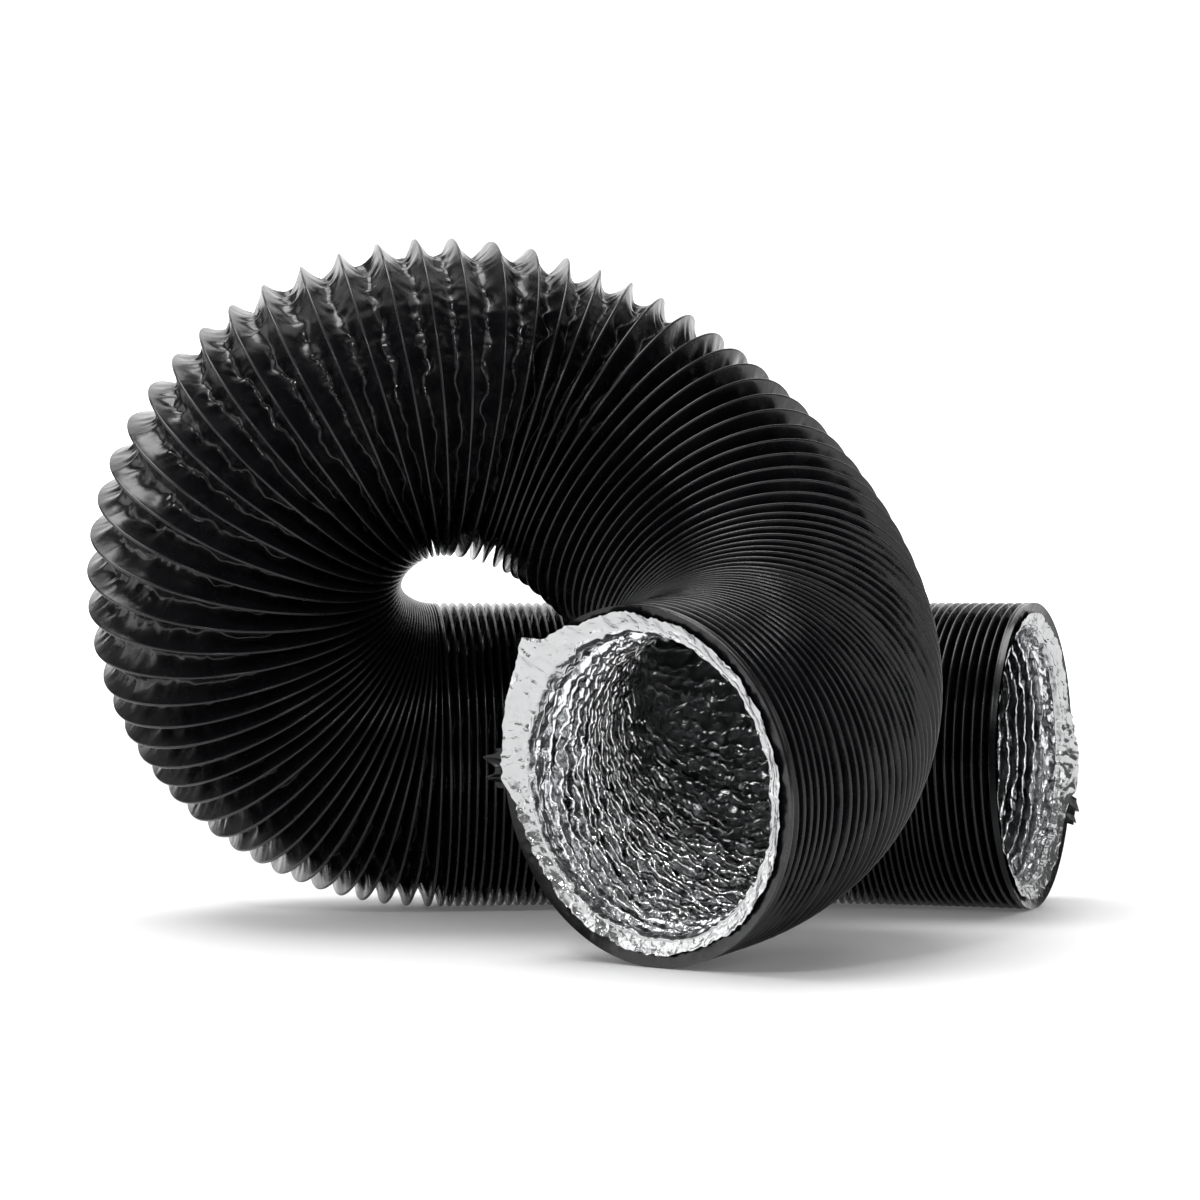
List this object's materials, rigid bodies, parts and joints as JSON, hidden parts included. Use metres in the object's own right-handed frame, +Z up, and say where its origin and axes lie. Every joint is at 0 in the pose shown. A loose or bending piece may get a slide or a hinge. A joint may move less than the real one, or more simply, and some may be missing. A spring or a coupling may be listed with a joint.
{
  "type": "flexible air duct",
  "caption": "Corrugated flexible air duct with black jacket, spring-wire helix and aluminium foil liner, lying in one standing loop with both mouths open.",
  "frame": {"origin": "on the floor, under the middle of the duct", "axes": "+Z up, +X towards mouth B along the longest side, -Y towards mouth A at the front"},
  "size_m": [0.6832, 0.5989, 0.4485],
  "materials": {
    "jacket": "soft black film, satin to gloss",
    "wire": "drawn spring steel",
    "foil": "crinkled bright foil"
  },
  "bodies": {
    "mouth_b": {"jacket_mouth_b": "jacket", "wire_mouth_b": "wire", "liner_mouth_b": "foil", "foil_rim_b": "foil", "tab_b": "jacket"},
    "leg_b1": {"jacket_leg_b1": "jacket", "wire_leg_b1_1": "wire", "wire_leg_b1_2": "wire", "liner_leg_b1": "foil"},
    "leg_b2": {"jacket_leg_b2": "jacket", "wire_leg_b2_1": "wire", "wire_leg_b2_2": "wire", "liner_leg_b2": "foil"},
    "leg": {"jacket_leg": "jacket", "wire_leg_1": "wire", "wire_leg_2": "wire", "wire_leg_3": "wire", "liner_leg": "foil"},
    "bend_1": {"jacket_bend_1": "jacket", "wire_bend_1": "wire", "liner_bend_1": "foil"},
    "bend_2": {"jacket_bend_2": "jacket", "wire_bend_2": "wire", "liner_bend_2": "foil"},
    "bend_3": {"jacket_bend_3": "jacket", "wire_bend_3": "wire", "liner_bend_3": "foil"},
    "bend_4": {"jacket_bend_4": "jacket", "wire_bend_4": "wire", "liner_bend_4": "foil"},
    "bend_5": {"jacket_bend_5": "jacket", "wire_bend_5": "wire", "liner_bend_5": "foil"},
    "top": {"jacket_top": "jacket", "wire_top": "wire", "liner_top": "foil"},
    "turn_1": {"jacket_turn_1": "jacket", "wire_turn_1": "wire", "liner_turn_1": "foil"},
    "turn_2": {"jacket_turn_2": "jacket", "wire_turn_2": "wire", "liner_turn_2": "foil"},
    "turn_3": {"jacket_turn_3": "jacket", "wire_turn_3": "wire", "liner_turn_3": "foil"},
    "front_1": {"jacket_front_1": "jacket", "wire_front_1": "wire", "liner_front_1": "foil"},
    "front_2": {"jacket_front_2": "jacket", "wire_front_2": "wire", "liner_front_2": "foil"},
    "mouth_a": {"jacket_mouth_a": "jacket", "wire_mouth_a": "wire", "liner_mouth_a": "foil", "foil_rim_a": "foil", "tab_a": "jacket"}
  },
  "joints": [
    {"name": "mouth_b_pull", "type": "slide", "parent": "leg_b1", "child": "mouth_b", "axis": [0.9272, -0.3746, 0], "range_m": [0, 0.028]},
    {"name": "leg_b_stretch_1", "type": "slide", "parent": "leg_b2", "child": "leg_b1", "axis": [0.9916, -0.1293, 0], "range_m": [0, 0.028]},
    {"name": "leg_b_stretch_2", "type": "slide", "parent": "leg", "child": "leg_b2", "axis": [0.9914, 0.131, 0], "range_m": [0, 0.028]},
    {"name": "loop_open", "type": "hinge", "parent": "leg", "child": "bend_1", "pos_m": [-0.10775, 0.12761, 0.2009], "axis": [0.1267, -0.9117, -0.3907], "range_deg": [0, 4]},
    {"name": "loop_fold_2", "type": "hinge", "parent": "bend_1", "child": "bend_2", "pos_m": [-0.12219, 0.12343, 0.20596], "axis": [0.1267, -0.9117, -0.3907], "range_deg": [0, 4.24]},
    {"name": "loop_fold_3", "type": "hinge", "parent": "bend_2", "child": "bend_3", "pos_m": [-0.13018, 0.11694, 0.21851], "axis": [0.1267, -0.9117, -0.3907], "range_deg": [0, 5.78]},
    {"name": "loop_fold_4", "type": "hinge", "parent": "bend_3", "child": "bend_4", "pos_m": [-0.12789, 0.11072, 0.23377], "axis": [0.1267, -0.9117, -0.3907], "range_deg": [0, 6.22]},
    {"name": "loop_fold_5", "type": "hinge", "parent": "bend_4", "child": "bend_5", "pos_m": [-0.11588, 0.10758, 0.245], "axis": [0.1267, -0.9117, -0.3907], "range_deg": [0, 6.22]},
    {"name": "loop_fold_6", "type": "hinge", "parent": "bend_5", "child": "top", "pos_m": [-0.08712, 0.05483, 0.23944], "axis": [0.2049, -0.9695, 0.1348], "range_deg": [0, 3.57]},
    {"name": "loop_fold_7", "type": "hinge", "parent": "top", "child": "turn_1", "pos_m": [-0.02849, -0.01864, 0.27217], "axis": [0.4355, -0.4856, 0.758], "range_deg": [0, 3.33]},
    {"name": "loop_fold_8", "type": "hinge", "parent": "turn_1", "child": "turn_2", "pos_m": [0.00041, -0.03879, 0.24266], "axis": [0.4355, -0.4856, 0.758], "range_deg": [0, 3.33]},
    {"name": "loop_fold_9", "type": "hinge", "parent": "turn_2", "child": "turn_3", "pos_m": [0.01442, -0.07133, 0.21377], "axis": [0.4355, -0.4856, 0.758], "range_deg": [0, 3.06]},
    {"name": "loop_fold_10", "type": "hinge", "parent": "turn_3", "child": "front_1", "pos_m": [0.0111, -0.11099, 0.19028], "axis": [0.4355, -0.4856, 0.758], "range_deg": [0, 2.25]},
    {"name": "mouth_a_pull", "type": "slide", "parent": "front_2", "child": "mouth_a", "axis": [-0.6413, -0.7673, 0], "range_m": [0, 0.028]},
    {"name": "front_stretch", "type": "slide", "parent": "front_1", "child": "front_2", "axis": [-0.6413, -0.7673, 0], "range_m": [0, 0.028]}
  ],
  "couplings": [
    {"joint": "leg_b_stretch_1", "follows": "mouth_b_pull", "ratio": 1},
    {"joint": "leg_b_stretch_2", "follows": "mouth_b_pull", "ratio": 1},
    {"joint": "loop_fold_2", "follows": "loop_open", "ratio": 1.0595},
    {"joint": "loop_fold_3", "follows": "loop_open", "ratio": 1.4445},
    {"joint": "loop_fold_4", "follows": "loop_open", "ratio": 1.5545},
    {"joint": "loop_fold_5", "follows": "loop_open", "ratio": 1.5545},
    {"joint": "loop_fold_6", "follows": "loop_open", "ratio": 0.892},
    {"joint": "loop_fold_7", "follows": "loop_open", "ratio": 0.832},
    {"joint": "loop_fold_8", "follows": "loop_open", "ratio": 0.832},
    {"joint": "loop_fold_9", "follows": "loop_open", "ratio": 0.7645},
    {"joint": "loop_fold_10", "follows": "loop_open", "ratio": 0.562},
    {"joint": "front_stretch", "follows": "mouth_a_pull", "ratio": 1}
  ]
}
